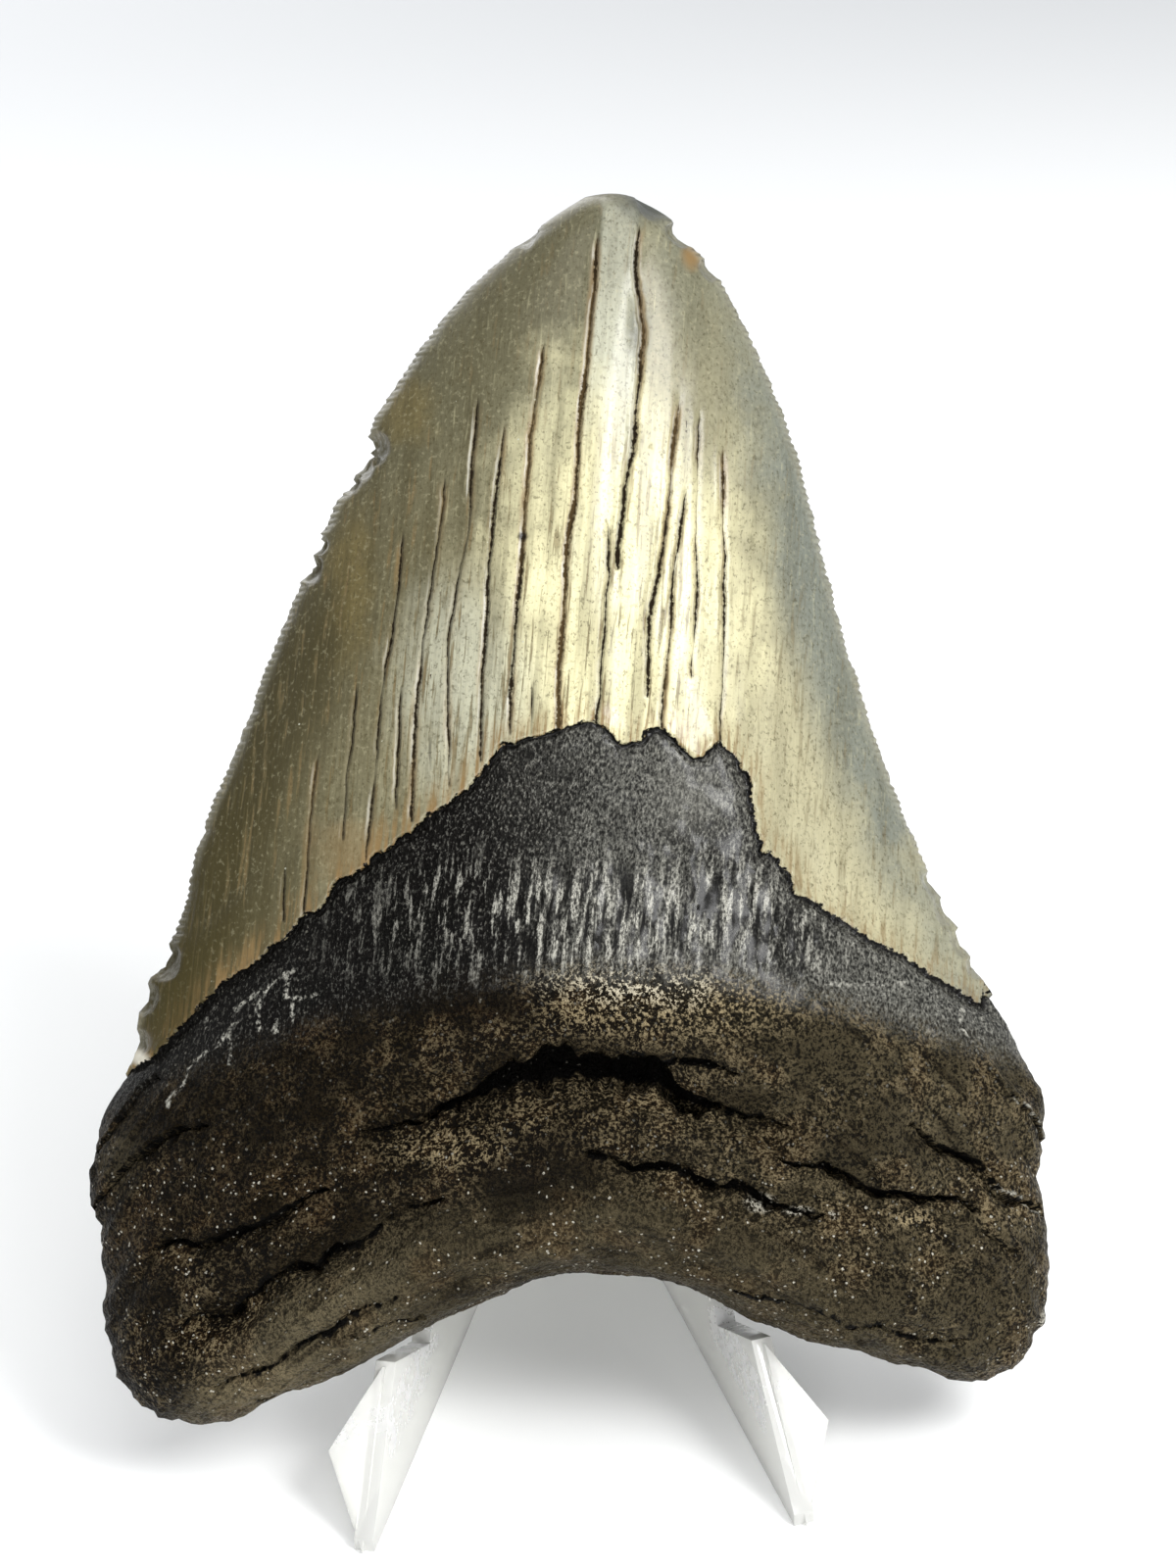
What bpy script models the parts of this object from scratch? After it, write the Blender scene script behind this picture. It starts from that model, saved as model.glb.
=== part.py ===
"""A fossil megalodon tooth leaning in its small clear display stand.

Metres, +Z up. The tooth shows its inner side, the one that faced the tongue, towards -Y, and the
stand's feet are on z = 0. Outlines of the tooth are in millimetres in the tooth's own plane: x across
it and z up the blade, with y = 0 on its cutting edges. The origin ends up under the middle of the whole.
"""
import math

import bmesh
import bpy
import numpy as np
from mathutils import Matrix, Vector

MM = 0.001

# The tooth: how far its faces stand out from the plane of the cutting edges, how thick the enamel
# plating is on the shown side and on the back, where on the root's rows the back's plating ends, how
# much of those rows is the rounded underside, and how the tooth leans to its side and backwards.
ROOT_FRONT = 16.8 * MM
ROOT_BACK = 9.2 * MM
ENAMEL_STEP = 0.5 * MM
BACK_ENAMEL_STEP = 0.4 * MM
BACK_ENAMEL_ROW = 0.78
UNDERSIDE = 0.22
TIP_LEAN = math.radians(3.5)
LEAN_BACK = math.radians(30)

# The stand: one moulding of two upright walls in a V.
WALL = 2.0 * MM
FOOT_SPREAD = 42.6 * MM
STAND_DEPTH = 79.0 * MM
SPINE_HEIGHT = 22.0 * MM
SPINE_RADIUS = 2.4 * MM
BACKREST_LENGTH = 54.0 * MM
WING_WIDTH = 4.6 * MM
WING_THICKNESS = 1.6 * MM
FOOT_TOE = 1.4 * MM
TOP_ROUND = 3.0 * MM
TRIMMED = 1.0 * MM

# Where the tooth sits in the stand, measured from the line between the two feet.
SEAT_BACK = 9.9 * MM
SEAT_HEIGHT = 6.0 * MM
LEDGE_HEIGHT = 7.7 * MM
LEDGE_FRONT = -3.0 * MM
GAP = 0.4 * MM

# The grid of the tooth's surface.
COLUMNS = 44
ROOT_ROWS = (0, 0.008, 0.03, 0.065, 0.11, 0.15, 0.18, 0.21, 0.24, 0.27, 0.30, 0.33, 0.36, 0.39, 0.42,
             0.46, 0.51, 0.57, 0.64, 0.71, 0.774, 0.785, 0.85, 0.92, 0.992)
CROWN_ROWS = (0, 0.03, 0.08, 0.14, 0.20, 0.26, 0.32, 0.38, 0.44, 0.50, 0.56, 0.62, 0.68, 0.74, 0.80,
              0.86, 0.91, 0.95, 0.98, 1)

# The underside of the root, from the left lobe over the arch to the right lobe.
ARCH = ((-38.4, 0.0), (-33.2, 0.6), (-25.2, 4.4), (-18.6, 7.5), (-11.7, 11.4), (-3.0, 14.9), (1.1, 15.3),
        (6.7, 14.5), (14.4, 11.6), (20.0, 9.3), (29.2, 6.5), (38.6, 4.1))

# The sides, each from its lobe up to where the enamel starts, and on to the tip.
LEFT_ROOT = ((-38.4, 0.0), (-43.0, 1.9), (-45.8, 6.0), (-46.7, 11.7), (-47.0, 17.3), (-48.4, 22.5),
             (-47.7, 28.0), (-45.8, 32.0), (-44.0, 34.3), (-43.9, 35.8))
LEFT_CROWN = ((-43.9, 35.8), (-43.9, 37.8), (-43.3, 42.4), (-41.3, 45.4), (-39.5, 46.8), (-39.7, 49.6),
              (-38.8, 53.0), (-36.9, 58.7), (-34.2, 65.2), (-31.9, 71.2), (-29.7, 77.2), (-27.5, 82.8),
              (-26.2, 85.5), (-25.0, 88.8), (-23.6, 91.0), (-20.9, 96.1), (-20.4, 98.2), (-17.4, 103.2),
              (-13.0, 109.0), (-9.5, 112.8), (-5.1, 116.6), (-0.7, 119.5), (1.2, 120.7))
RIGHT_ROOT = ((38.6, 4.1), (42.6, 5.0), (45.5, 8.8), (46.7, 13.8), (46.4, 19.4), (45.4, 24.2),
              (46.9, 30.7), (45.5, 33.0), (44.3, 35.9), (42.6, 39.6), (40.3, 43.8))
RIGHT_CROWN = ((40.3, 43.8), (39.3, 45.9), (38.1, 48.8), (35.7, 52.0), (34.4, 55.5), (32.2, 59.9),
               (30.2, 64.9), (27.8, 72.5), (25.3, 81.1), (23.1, 89.9), (20.4, 99.3), (18.7, 102.7),
               (16.0, 109.1), (14.1, 111.8), (12.3, 114.8), (10.6, 116.2), (9.7, 117.2), (8.4, 119.3))

# The lower edge of the enamel on the shown side, and the even curve that it wanders about.
ENAMEL_EDGE = ((-43.9, 35.8), (-38.2, 39.5), (-34.2, 43.8), (-30.8, 45.9), (-27.6, 48.6), (-24.4, 51.2),
               (-23.2, 53.3), (-18.1, 56.9), (-12.4, 60.9), (-9.4, 64.0), (-7.0, 66.7), (-2.9, 67.7),
               (1.5, 68.9), (3.3, 67.3), (5.7, 66.6), (7.7, 68.2), (10.9, 65.6), (13.8, 66.9),
               (15.3, 64.8), (16.7, 62.8), (17.0, 59.6), (17.7, 56.2), (19.9, 54.7), (20.7, 52.5),
               (25.3, 49.7), (31.4, 46.2), (35.6, 43.5), (39.4, 41.2), (40.3, 43.8))
ENAMEL_SWEEP = ((-43.9, 35.8), (-27.6, 48.6), (-12.4, 61.5), (1.5, 67.5), (13.8, 63.5), (25.3, 51.0),
                (40.3, 43.0))

# How far the faces stand out along the middle of the tooth, as shares of ROOT_FRONT and ROOT_BACK.
FRONT_ROOT_SWELL = ((0, 0.80), (0.12, 0.88), (0.25, 0.93), (0.36, 0.98), (0.50, 1.0), (0.62, 0.95),
                    (0.80, 0.80), (1, 0.71))
FRONT_CROWN_SWELL = ((0, 0.71), (0.25, 0.65), (0.5, 0.53), (0.75, 0.36), (0.9, 0.23), (1, 0.15))
BACK_ROOT_SWELL = ((0, 0.92), (0.2, 1.0), (0.5, 1.0), (0.8, 0.86), (1, 0.74))
BACK_CROWN_SWELL = ((0, 0.74), (0.3, 0.60), (0.6, 0.42), (0.85, 0.25), (1, 0.15))

# Cracks and splits of the root: the line each follows, its depth and half its width, in millimetres.
FISSURES = (
    (((-18.3, 30.3), (-13.4, 32.2), (-6.5, 34.8), (0.0, 36.0), (5.0, 35.6), (9.4, 33.7), (14.8, 32.0),
      (20.0, 30.2)), 3.2, 1.5),
    (((-20.5, 29.4), (-15.4, 30.6)), 1.4, 1.0),
    (((6.3, 36.9), (13.0, 36.4)), 1.2, 0.9),
    (((1.2, 27.3), (6.5, 26.6), (11.2, 25.4), (16.1, 23.9), (23.0, 21.8)), 1.9, 1.1),
    (((23.0, 26.2), (29.5, 24.0), (36.7, 22.9), (38.5, 22.1)), 1.5, 1.0),
    (((33.0, 29.7), (38.5, 25.8), (44.6, 21.4)), 1.7, 1.1),
    (((14.4, 14.7), (22.0, 12.5), (29.9, 10.3), (37.1, 9.4)), 1.1, 0.9),
    (((-38.7, 9.9), (-33.8, 11.7), (-27.7, 16.5), (-20.3, 19.1), (-15.1, 22.5)), 2.2, 1.2),
    (((-39.9, 18.2), (-35.0, 19.2)), 1.2, 0.9),
    (((-34.7, 4.7), (-29.8, 7.1), (-25.5, 9.6), (-19.4, 13.6)), 1.2, 0.9),
    (((-47.2, 21.7), (-43.4, 26.5), (-40.8, 28.2)), 1.3, 1.0),
)

# Ledges of the root: the line each follows, how far the stone below it stands back, and how soon it
# comes out again, in millimetres.
LEDGES = (
    (((-30.0, 24.5), (-13.4, 32.2), (0.0, 35.5), (12.0, 33.0), (28.0, 26.0)), 1.5, 6.0),
    (((-38.0, 10.5), (-20.3, 19.5), (0.0, 26.5), (16.0, 24.0), (34.0, 22.5)), 1.1, 5.0),
)

# The raised strip of enamel up the middle, between its two longest cracks, and its height.
STRIP = ((0.6, 68.0), (0.2, 84.0), (1.8, 100.0), (4.4, 119.0))
STRIP_WIDTH = 3.2
STRIP_HEIGHT = 0.45

STONE = (0.085, 0.07, 0.055, 1)
CLEAR_PLASTIC = (0.86, 0.9, 0.9, 0.28)


def at(points, where):
    """The value at where on the straight runs through points of (place, value)."""
    places, values = zip(*points)
    return np.interp(where, places, values)


def along(points, shares):
    """Points at the given shares of the length of a smooth curve through hand-chosen points."""
    corners = np.array(points, float)
    ends = np.vstack((2 * corners[0] - corners[1], corners, 2 * corners[-1] - corners[-2]))
    fine = []
    for a, b, c, d in zip(ends, ends[1:], ends[2:], ends[3:]):
        t = np.linspace(0, 1, 12, endpoint=False)[:, None]
        fine.append(0.5 * (2 * b + (c - a) * t + (2 * a - 5 * b + 4 * c - d) * t * t
                           + (3 * b - a - 3 * c + d) * t ** 3))
    fine = np.vstack(fine + [corners[-1:]])
    length = np.concatenate(([0], np.cumsum(np.linalg.norm(np.diff(fine, axis=0), axis=1))))
    length /= length[-1]
    return np.column_stack([np.interp(shares, length, fine[:, axis]) for axis in range(2)])


def rise(points, across):
    """How far a line from side to side stands above the straight line between its ends."""
    x, z = np.array(points, float).T
    place = (x - x[0]) / (x[-1] - x[0])
    return np.interp(across, place, z - (z[0] + (z[-1] - z[0]) * place))


def to_line(x, z, points):
    """Distance of each place from a line through points, and how far it is above (+) that line."""
    best = np.full(x.shape, 1e9)
    above = np.zeros(x.shape)
    for (x0, z0), (x1, z1) in zip(points, points[1:]):
        run = math.hypot(x1 - x0, z1 - z0)
        dx, dz = (x1 - x0) / run, (z1 - z0) / run
        t = np.clip((x - x0) * dx + (z - z0) * dz, 0, run)
        gap = np.hypot(x - x0 - dx * t, z - z0 - dz * t)
        nearer = gap < best
        best = np.where(nearer, gap, best)
        above = np.where(nearer, (z - z0) * dx - (x - x0) * dz, above)
    return best, above


def plan_of_rows():
    """The tooth's grid seen from the front: x and z of each row and column, and each row's place."""
    t = np.linspace(0, 1, COLUMNS + 1)
    across = t - 0.05 * np.sin(2 * np.pi * t)
    arch, edge, sweep = (rise(line, across) for line in (ARCH, ENAMEL_EDGE, ENAMEL_SWEEP))
    rows = []
    for v, left, right in zip(ROOT_ROWS, along(LEFT_ROOT, ROOT_ROWS), along(RIGHT_ROOT, ROOT_ROWS)):
        bow = arch * (1 - v) + sweep * v + (edge - sweep) * v ** 8
        rows.append((left, right, bow, v, 0))
    for w, left, right in zip(CROWN_ROWS, along(LEFT_CROWN, CROWN_ROWS), along(RIGHT_CROWN, CROWN_ROWS)):
        bow = sweep * (1 - w) ** 1.3 + (edge - sweep) * (1 - w) ** 8 + 0.9 * w * np.sin(np.pi * across)
        rows.append((left, right, bow, 1, w))
    x = np.array([left[0] + (right[0] - left[0]) * across for left, right, *_ in rows])
    z = np.array([left[1] + (right[1] - left[1]) * across + bow for left, right, bow, *_ in rows])
    return x, z, across, [row[3:] for row in rows]


def swell(v, w, across, root_swell, crown_swell, depth, front):
    """How far one row of a face stands out from the plane of the cutting edges."""
    side = np.abs(2 * across - 1)
    if w == 0 and v < 1:
        under = math.sqrt(1 - np.clip(1 - v / UNDERSIDE, 0, 1) ** 2)
        round_side = (1 - side ** 2.8) ** (0.5 + 0.3 * v ** 3)
        return depth * at(root_swell, v) * under * round_side * (1 - 0.16 * side ** 2)
    over = math.sqrt(1 - np.clip((w - 0.97) / 0.03, 0, 1) ** 2)
    blade = (1 - side ** (2.0 if front else 2.6)) ** (0.86 if front else 0.8)
    return depth * at(crown_swell, w) * over * blade


def carve_root(x, z):
    """How deep the shown face of the root is cut by its fissures and ledges, and lifted by its lumps."""
    cut = np.zeros(x.shape)
    for points, depth, half_width in FISSURES:
        gap, _ = to_line(x, z, points)
        cut = np.maximum(cut, depth * np.exp(-(gap / half_width) ** 2))
    for points, depth, reach in LEDGES:
        gap, above = to_line(x, z, points)
        below = np.clip(-above / 0.8 + 0.5, 0, 1) * np.exp(-np.clip(-above, 0, None) / reach)
        cut += depth * below * (gap < np.abs(above) + 0.5)
    lumps = 0.45 * np.sin(x / 3.1 + 1.3 * np.sin(z / 4.3)) * np.sin(z / 2.9 + 0.7 * np.sin(x / 5.2))
    return cut - lumps


def tooth_faces():
    """Front and back places of the tooth's grid, in metres, row by row."""
    x, z, across, places = plan_of_rows()
    front = np.zeros(x.shape)
    back = np.zeros(x.shape)
    side = np.abs(2 * across - 1)
    inside = np.clip((1 - side) / 0.2, 0, 1)
    for row, (v, w) in enumerate(places):
        front[row] = swell(v, w, across, FRONT_ROOT_SWELL, FRONT_CROWN_SWELL, ROOT_FRONT, True)
        back[row] = swell(v, w, across, BACK_ROOT_SWELL, BACK_CROWN_SWELL, ROOT_BACK, False)
        if v < 1:
            low = np.clip(v / 0.12, 0, 1)
            high = np.clip((0.80 - v) / 0.2, 0, 1)
            front[row] -= carve_root(x[row], z[row]) * MM * low * high * inside
            back[row] += BACK_ENAMEL_STEP * inside * (v > BACK_ENAMEL_ROW)
        else:
            off_strip, _ = to_line(x[row], z[row], STRIP)
            strip = np.clip(STRIP_WIDTH / 2 + 0.8 - off_strip, 0, 0.8) / 0.8
            plate = ENAMEL_STEP * np.clip((1 - side) / 0.06, 0, 1) * np.clip((1 - w) / 0.03, 0, 1)
            front[row] += plate + STRIP_HEIGHT * MM * strip * np.clip((1 - w) / 0.06, 0, 1)
            back[row] += BACK_ENAMEL_STEP * inside * np.clip((1 - w) / 0.3, 0, 1)
    return x * MM, z * MM, front, back


def make_tooth():
    """One closed skin: the two faces share the tooth's outline, its underside and its tip."""
    x, z, front, back = tooth_faces()
    last_row, last_column = x.shape[0] - 1, x.shape[1] - 1
    verts, number = [], {}
    for face, sign, depth in (("front", -1, front), ("back", 1, back)):
        for row in range(last_row + 1):
            for column in range(last_column + 1):
                rim = row in (0, last_row) or column in (0, last_column)
                if rim and face == "back":
                    number[face, row, column] = number["front", row, column]
                    continue
                number[face, row, column] = len(verts)
                verts.append((x[row, column], 0 if rim else sign * depth[row, column], z[row, column]))
    faces = []
    for row in range(last_row):
        for column in range(last_column):
            ring = ((row, column), (row, column + 1), (row + 1, column + 1), (row + 1, column))
            faces.append([number["front", *corner] for corner in ring])
            faces.append([number["back", *corner] for corner in reversed(ring)])
    mesh = bpy.data.meshes.new("megalodon_tooth")
    mesh.from_pydata(verts, [], faces)
    mesh.shade_smooth()
    tooth = bpy.data.objects.new("megalodon_tooth", mesh)
    tooth.rotation_mode = "YXZ"
    tooth.rotation_euler = (-LEAN_BACK, TIP_LEAN, 0)
    tooth.location = (0, SEAT_BACK, SEAT_HEIGHT)
    return tooth


def in_stand(depth, height):
    """Distance behind the feet and height above the floor of a place in the leaning tooth's frame."""
    cos, sin = math.cos(LEAN_BACK), math.sin(LEAN_BACK)
    return SEAT_BACK + depth * cos + height * sin, SEAT_HEIGHT - depth * sin + height * cos


def slab(name, outline, thickness, placing):
    """A flat plate cut to an outline, as a closed mesh, with the outline in the middle of it."""
    curve = bpy.data.curves.new(name, "CURVE")
    curve.dimensions = "2D"
    curve.fill_mode = "BOTH"
    curve.extrude = thickness / 2
    line = curve.splines.new("POLY")
    line.points.add(len(outline) - 1)
    for point, (u, v) in zip(line.points, outline):
        point.co = (u, v, 0, 1)
    line.use_cyclic_u = True
    drawn = bpy.data.objects.new(name + "_outline", curve)
    bpy.context.scene.collection.objects.link(drawn)
    mesh = bpy.data.meshes.new_from_object(drawn.evaluated_get(bpy.context.evaluated_depsgraph_get()))
    bpy.data.objects.remove(drawn)
    plate = bpy.data.objects.new(name, mesh)
    plate.matrix_world = placing
    weld(mesh)
    return plate


def weld(mesh):
    """Joins the loose caps of a mesh that was a curve, and turns its faces outwards."""
    shape = bmesh.new()
    shape.from_mesh(mesh)
    bmesh.ops.remove_doubles(shape, verts=shape.verts, dist=0.00001)
    bmesh.ops.recalc_face_normals(shape, faces=shape.faces)
    shape.to_mesh(mesh)
    shape.free()


def arc(centre, radius, start, end, steps=6):
    """Points of a round corner, from one angle to another, in degrees."""
    angles = [math.radians(start + (end - start) * i / steps) for i in range(steps + 1)]
    return [(centre[0] + radius * math.cos(a), centre[1] + radius * math.sin(a)) for a in angles]


def wall_outline():
    """Side view of one wall: distance back from its foot, and height."""
    slant = math.cos(math.atan2(FOOT_SPREAD / 2, STAND_DEPTH))
    crest, ledge_back = in_stand(LEDGE_FRONT, LEDGE_HEIGHT), in_stand(ROOT_BACK + GAP, LEDGE_HEIGHT)
    rest_top = in_stand(ROOT_BACK + GAP, LEDGE_HEIGHT + BACKREST_LENGTH)
    lean = math.degrees(LEAN_BACK)
    centre = in_stand(ROOT_BACK + GAP + TOP_ROUND, LEDGE_HEIGHT + BACKREST_LENGTH)
    outline = [(0, -TRIMMED), (0, FOOT_TOE), crest, ledge_back, rest_top]
    outline += arc(centre, TOP_ROUND, 180 - lean, 35)[1:]
    outline += [(STAND_DEPTH, SPINE_HEIGHT), (STAND_DEPTH, -TRIMMED)]
    return [(y / slant, z) for y, z in outline]


def frame_of(start, ahead, up):
    """A placing whose x axis runs ahead and whose y axis runs up."""
    ahead = ahead.normalized()
    side = ahead.cross(up).normalized()
    turned = Matrix((ahead, side.cross(ahead), side)).transposed().to_4x4()
    return Matrix.Translation(start) @ turned


def stand_pieces():
    """The two walls, the wing on the outside of each foot, and the spine."""
    crest_back, crest_height = in_stand(LEDGE_FRONT, LEDGE_HEIGHT)
    spine_foot = Vector((0, STAND_DEPTH, 0))
    pieces = []
    for hand, name in ((-1, "left"), (1, "right")):
        foot = Vector((hand * FOOT_SPREAD / 2, 0, 0))
        placing = frame_of(foot, spine_foot - foot, Vector((0, 0, 1)))
        pieces.append(slab(name + "_wall", wall_outline(), WALL, placing))
        crest = foot.lerp(spine_foot, crest_back / STAND_DEPTH) + Vector((0, 0, crest_height))
        length = (crest - foot).length
        outward = Vector((hand * math.cos(math.radians(20)), math.sin(math.radians(20)), 0))
        placing = frame_of(foot, crest - foot, outward)
        wing = [(-0.2 * MM, 0), (length * 0.97, 0), (length * 0.50, WING_WIDTH)]
        pieces.append(slab(name + "_wing", wing if hand < 0 else wing[::-1], WING_THICKNESS, placing))
    middle = Vector((0, STAND_DEPTH, (SPINE_HEIGHT - TRIMMED) / 2))
    bpy.ops.mesh.primitive_cylinder_add(vertices=24, radius=SPINE_RADIUS, depth=SPINE_HEIGHT + TRIMMED,
                                        location=middle)
    spine = bpy.context.active_object
    spine.name = "spine"
    spine.users_collection[0].objects.unlink(spine)
    return pieces + [spine]


def floor_trim():
    """A block that trims what would reach under the floor."""
    bpy.ops.mesh.primitive_cube_add(size=0.2, location=(0, STAND_DEPTH / 2, -0.1))
    block = bpy.context.active_object
    block.name = "floor_trim"
    block.users_collection[0].objects.unlink(block)
    return block


def make_stand(cutters):
    """The moulding: its left wall joined with the rest, and trimmed level underneath."""
    stand, *rest = stand_pieces()
    stand.name = "display_stand"
    for other, operation in [(piece, "UNION") for piece in rest] + [(floor_trim(), "DIFFERENCE")]:
        cutters.objects.link(other)
        other.hide_render = True
        other.display_type = "WIRE"
        step = stand.modifiers.new(other.name, "BOOLEAN")
        step.operation = operation
        step.object = other
    return stand


def material(name, colour, roughness, metallic=0.0, transmission=0.0):
    look = bpy.data.materials.new(name)
    look.use_nodes = True
    shader = look.node_tree.nodes["Principled BSDF"]
    shader.inputs["Base Color"].default_value = colour
    shader.inputs["Roughness"].default_value = roughness
    shader.inputs["Metallic"].default_value = metallic
    shader.inputs["Transmission Weight"].default_value = transmission
    return look


def centre_on_floor(objects):
    """Moves all objects so that the origin is under the middle of their box."""
    bpy.context.view_layer.update()
    graph = bpy.context.evaluated_depsgraph_get()
    corners = []
    for thing in objects:
        shape = thing.evaluated_get(graph).to_mesh()
        corners += [thing.matrix_world @ vertex.co for vertex in shape.vertices]
    low = Vector([min(corner[axis] for corner in corners) for axis in range(3)])
    high = Vector([max(corner[axis] for corner in corners) for axis in range(3)])
    return Vector((-(low.x + high.x) / 2, -(low.y + high.y) / 2, -low.z))


for thing in list(bpy.data.objects):
    bpy.data.objects.remove(thing)
parts = bpy.data.collections.new("megalodon_tooth_on_stand")
cutters = bpy.data.collections.new("cutters")
for group in (parts, cutters):
    bpy.context.scene.collection.children.link(group)

tooth = make_tooth()
stand = make_stand(cutters)
tooth.data.materials.append(material("fossil_stone", STONE, 0.5))
stand.data.materials.append(material("clear_plastic", CLEAR_PLASTIC, 0.08, transmission=0.9))
for thing in (tooth, stand):
    parts.objects.link(thing)
shift = Matrix.Translation(centre_on_floor((tooth, stand)))
for thing in (tooth, stand, *cutters.objects):
    thing.matrix_world = shift @ thing.matrix_world
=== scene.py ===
import itertools
import math
import bpy
import numpy as np
from mathutils import Matrix, Vector


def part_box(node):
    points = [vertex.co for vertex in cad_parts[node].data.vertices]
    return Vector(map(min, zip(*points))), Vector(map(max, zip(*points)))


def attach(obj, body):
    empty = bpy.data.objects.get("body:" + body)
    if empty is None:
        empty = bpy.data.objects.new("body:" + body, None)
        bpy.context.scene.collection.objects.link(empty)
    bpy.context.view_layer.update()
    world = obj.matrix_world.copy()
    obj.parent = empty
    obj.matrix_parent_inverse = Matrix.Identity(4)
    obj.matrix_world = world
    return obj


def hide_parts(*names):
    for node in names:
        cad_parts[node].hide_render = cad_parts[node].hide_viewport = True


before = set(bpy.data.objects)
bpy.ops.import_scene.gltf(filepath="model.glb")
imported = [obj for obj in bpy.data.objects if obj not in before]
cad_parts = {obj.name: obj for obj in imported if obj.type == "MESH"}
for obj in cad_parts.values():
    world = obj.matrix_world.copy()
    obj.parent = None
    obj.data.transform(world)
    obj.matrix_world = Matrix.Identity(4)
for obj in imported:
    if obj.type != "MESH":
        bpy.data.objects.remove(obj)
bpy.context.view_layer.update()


# The tooth, place. One fossil tooth, enamel over stony root, that leans back in the stand and a little to
# its side. Nothing holds it but its weight. Its own frame is turned with it: x across the tooth, y into it
# from the shown face, z up the blade, in millimetres from where it sits.
LEAN_BACK = math.radians(30)
TIP_LEAN = math.radians(3.5)
SEAT_BEHIND_TOES = 0.0106
SEAT_HEIGHT = 0.006
stand_low, stand_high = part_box("display_stand")
turned = Matrix.Rotation(-LEAN_BACK, 3, "X") @ Matrix.Rotation(TIP_LEAN, 3, "Y")
seat = ((stand_low.x + stand_high.x) / 2, stand_low.y + SEAT_BEHIND_TOES, SEAT_HEIGHT)


def in_tooth(mesh):
    """The vertices of a mesh in the tooth's own frame, in millimetres."""
    flat = np.empty(len(mesh.vertices) * 3)
    mesh.vertices.foreach_get("co", flat)
    return (flat.reshape(-1, 3) - seat) @ np.array(turned) * 1000


def put_in_tooth(mesh, places):
    """Moves the vertices of a mesh to places in the tooth's own frame."""
    world = places / 1000 @ np.array(turned).T + seat
    mesh.vertices.foreach_set("co", world.ravel())
    mesh.update()


# The tooth, lines. What grew, cracked or broke in it, followed across the shown face, in mm: the
# ragged lower edge of the enamel on both faces, the foot of the dark band, veins, cracks, splits and chips.
ENAMEL_EDGE = ((-46.0, 34.0), (-43.0, 35.4), (-41.3, 36.1), (-38.2, 39.5), (-34.2, 43.8), (-33.3, 44.0),
               (-30.8, 45.9), (-27.6, 48.6), (-26.6, 49.8), (-24.4, 51.2), (-23.2, 53.3), (-21.0, 54.7),
               (-18.1, 56.9), (-14.9, 59.1), (-12.4, 60.9), (-10.5, 62.3), (-9.4, 64.0), (-8.0, 65.3),
               (-7.0, 66.7), (-4.5, 67.2), (-2.9, 67.7), (1.5, 68.9), (3.3, 67.3), (4.2, 66.4), (5.7, 66.6),
               (6.4, 67.5), (7.7, 68.2), (9.1, 67.3), (10.9, 65.6), (12.1, 65.5), (12.8, 66.4), (13.8, 66.9),
               (15.3, 64.8), (16.7, 62.8), (17.0, 59.6), (17.7, 56.2), (18.7, 56.3), (19.9, 54.7),
               (20.7, 52.5), (22.9, 51.3), (25.3, 49.7), (28.0, 47.9), (31.4, 46.2), (35.6, 43.5),
               (39.4, 41.2), (39.9, 44.2), (44.0, 45.0))
BACK_ENAMEL_EDGE = ((-47.0, 35.0), (-44.0, 34.0), (-40.5, 32.5), (-35.5, 34.0), (-29.7, 36.8), (-12.8, 48.1),
                    (2.7, 53.8), (16.4, 49.9), (29.3, 39.8), (34.5, 38.0), (38.5, 40.5), (44.0, 44.5))
BAND_FOOT = ((-47.0, 30.0), (-38.0, 35.0), (-25.0, 40.0), (-12.0, 44.0), (0.0, 45.5), (12.0, 45.0),
             (25.0, 42.0), (36.0, 38.5), (47.0, 35.0))
# Thin whitish lines of the root: crazing under the left end of the enamel, then along the right side.
VEINS = (
    ((-38.0, 35.3), (-36.2, 36.6), (-35.0, 37.5), (-33.8, 38.8), (-32.8, 39.7)),
    ((-33.3, 40.9), (-31.8, 41.8), (-30.4, 42.9), (-29.4, 43.9), (-28.2, 44.8), (-27.3, 44.9)),
    ((-36.0, 39.1), (-35.8, 40.5), (-35.0, 40.9)),
    ((-33.4, 38.8), (-33.3, 35.8)),
    ((-30.3, 42.9), (-30.7, 41.0), (-30.5, 39.0)),
    ((-28.0, 44.4), (-27.8, 42.7), (-26.4, 42.4), (-24.8, 42.5)),
    ((-27.5, 42.7), (-27.2, 39.9)),
    ((-29.0, 40.5), (-28.9, 39.0)),
    ((-37.8, 35.3), (-38.0, 34.1), (-38.9, 32.6), (-39.7, 31.7)),
    ((23.6, 44.0), (25.3, 43.7), (27.3, 43.7), (29.0, 43.5), (30.2, 43.8), (31.4, 43.5)),
    ((34.7, 42.7), (34.6, 41.2), (34.8, 40.5)),
    ((37.2, 41.0), (37.1, 39.5), (37.6, 38.3)),
    ((39.5, 40.0), (39.2, 38.8)),
    ((42.0, 32.4), (43.5, 31.4), (44.7, 29.9), (45.4, 28.2)),
    ((40.3, 23.9), (42.2, 22.9), (43.9, 21.8), (45.2, 20.4)),
)
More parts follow.
